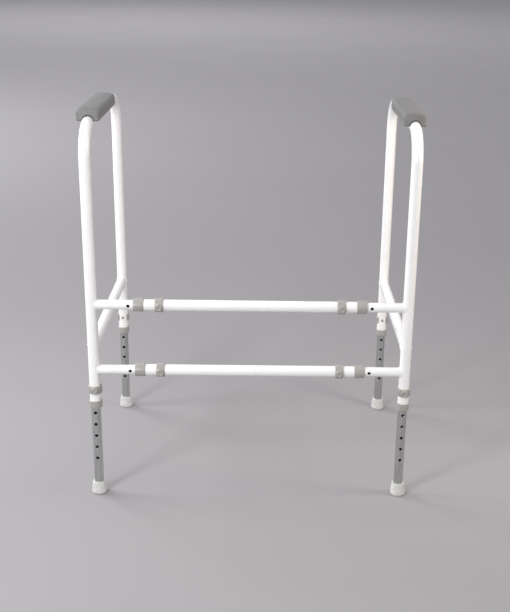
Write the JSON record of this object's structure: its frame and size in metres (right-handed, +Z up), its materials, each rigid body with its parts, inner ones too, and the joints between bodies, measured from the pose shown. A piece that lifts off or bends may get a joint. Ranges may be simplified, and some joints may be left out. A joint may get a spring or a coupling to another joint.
{
  "type": "toilet support frame",
  "caption": "Free-standing toilet support frame with hooped sides, padded arms, telescopic legs on rubber ferrules, and telescopic cross bars held by spring clips.",
  "frame": {"origin": "on the floor, under the middle of the frame: the centre of the bottom of its box", "axes": "+Z up; +X is the seated user's right; +Y is the way the user faces, out of the open front, so the cross bars are at -Y"},
  "size_m": [0.668, 0.4608, 0.788],
  "materials": {
    "white_paint": "glossy white powder coat on steel tube",
    "grey_plastic": "moulded mid-grey nylon, satin",
    "aluminium": "satin drawn tube with fine lengthwise streaks",
    "grey_rubber": "matt light grey rubber",
    "pad_foam": "self-skinned grey foam with a fine grain",
    "steel": "bright zinc-plated steel"
  },
  "bodies": {
    "cross_bars": {"upper_cross_tube": "white_paint", "upper_left_bar_collar": "grey_plastic", "upper_right_bar_collar": "grey_plastic", "lower_cross_tube": "white_paint", "lower_left_bar_collar": "grey_plastic", "lower_right_bar_collar": "grey_plastic"},
    "left_side_frame": {"left_hoop": "white_paint", "left_side_rail": "white_paint", "upper_left_bar_stub": "white_paint", "lower_left_bar_stub": "white_paint", "left_arm_pad": "pad_foam", "left_rear_pad_screw": "steel", "left_front_pad_screw": "steel", "rear_left_leg_collar": "grey_plastic", "front_left_leg_collar": "grey_plastic"},
    "rear_left_leg": {"rear_left_leg_tube": "aluminium", "rear_left_leg_ferrule": "grey_rubber", "rear_left_leg_washer": "steel"},
    "rear_left_leg_clip": {"rear_left_leg_clip": "grey_plastic"},
    "front_left_leg": {"front_left_leg_tube": "aluminium", "front_left_leg_ferrule": "grey_rubber", "front_left_leg_washer": "steel"},
    "front_left_leg_clip": {"front_left_leg_clip": "grey_plastic"},
    "right_side_frame": {"right_hoop": "white_paint", "right_side_rail": "white_paint", "upper_right_bar_stub": "white_paint", "lower_right_bar_stub": "white_paint", "right_arm_pad": "pad_foam", "right_rear_pad_screw": "steel", "right_front_pad_screw": "steel", "rear_right_leg_collar": "grey_plastic", "front_right_leg_collar": "grey_plastic"},
    "rear_right_leg": {"rear_right_leg_tube": "aluminium", "rear_right_leg_ferrule": "grey_rubber", "rear_right_leg_washer": "steel"},
    "rear_right_leg_clip": {"rear_right_leg_clip": "grey_plastic"},
    "front_right_leg": {"front_right_leg_tube": "aluminium", "front_right_leg_ferrule": "grey_rubber", "front_right_leg_washer": "steel"},
    "front_right_leg_clip": {"front_right_leg_clip": "grey_plastic"},
    "upper_left_bar_clip": {"upper_left_bar_clip": "grey_plastic"},
    "upper_right_bar_clip": {"upper_right_bar_clip": "grey_plastic"},
    "lower_left_bar_clip": {"lower_left_bar_clip": "grey_plastic"},
    "lower_right_bar_clip": {"lower_right_bar_clip": "grey_plastic"}
  },
  "joints": [
    {"name": "left_width_slide", "type": "slide", "parent": "cross_bars", "child": "left_side_frame", "axis": [1, 0, 0], "range_m": [0, 0.06]},
    {"name": "rear_left_leg_slide", "type": "slide", "parent": "left_side_frame", "child": "rear_left_leg", "axis": [0, 0, 1], "range_m": [0, 0.1524]},
    {"name": "rear_left_leg_clip_pull", "type": "slide", "parent": "left_side_frame", "child": "rear_left_leg_clip", "axis": [0, -1, 0], "range_m": [0, 0.045], "deforming": ["rear_left_leg_clip"]},
    {"name": "front_left_leg_slide", "type": "slide", "parent": "left_side_frame", "child": "front_left_leg", "axis": [0, 0, 1], "range_m": [0, 0.1524]},
    {"name": "front_left_leg_clip_pull", "type": "slide", "parent": "left_side_frame", "child": "front_left_leg_clip", "axis": [0, 1, 0], "range_m": [0, 0.045], "deforming": ["front_left_leg_clip"]},
    {"name": "right_width_slide", "type": "slide", "parent": "cross_bars", "child": "right_side_frame", "axis": [-1, 0, 0], "range_m": [0, 0.06]},
    {"name": "rear_right_leg_slide", "type": "slide", "parent": "right_side_frame", "child": "rear_right_leg", "axis": [0, 0, 1], "range_m": [0, 0.1524]},
    {"name": "rear_right_leg_clip_pull", "type": "slide", "parent": "right_side_frame", "child": "rear_right_leg_clip", "axis": [0, -1, 0], "range_m": [0, 0.045], "deforming": ["rear_right_leg_clip"]},
    {"name": "front_right_leg_slide", "type": "slide", "parent": "right_side_frame", "child": "front_right_leg", "axis": [0, 0, 1], "range_m": [0, 0.1524]},
    {"name": "front_right_leg_clip_pull", "type": "slide", "parent": "right_side_frame", "child": "front_right_leg_clip", "axis": [0, 1, 0], "range_m": [0, 0.045], "deforming": ["front_right_leg_clip"]},
    {"name": "upper_left_bar_clip_pull", "type": "slide", "parent": "cross_bars", "child": "upper_left_bar_clip", "axis": [0, -1, 0], "range_m": [0, 0.045], "deforming": ["upper_left_bar_clip"]},
    {"name": "upper_right_bar_clip_pull", "type": "slide", "parent": "cross_bars", "child": "upper_right_bar_clip", "axis": [0, -1, 0], "range_m": [0, 0.045], "deforming": ["upper_right_bar_clip"]},
    {"name": "lower_left_bar_clip_pull", "type": "slide", "parent": "cross_bars", "child": "lower_left_bar_clip", "axis": [0, -1, 0], "range_m": [0, 0.045], "deforming": ["lower_left_bar_clip"]},
    {"name": "lower_right_bar_clip_pull", "type": "slide", "parent": "cross_bars", "child": "lower_right_bar_clip", "axis": [0, -1, 0], "range_m": [0, 0.045], "deforming": ["lower_right_bar_clip"]}
  ]
}
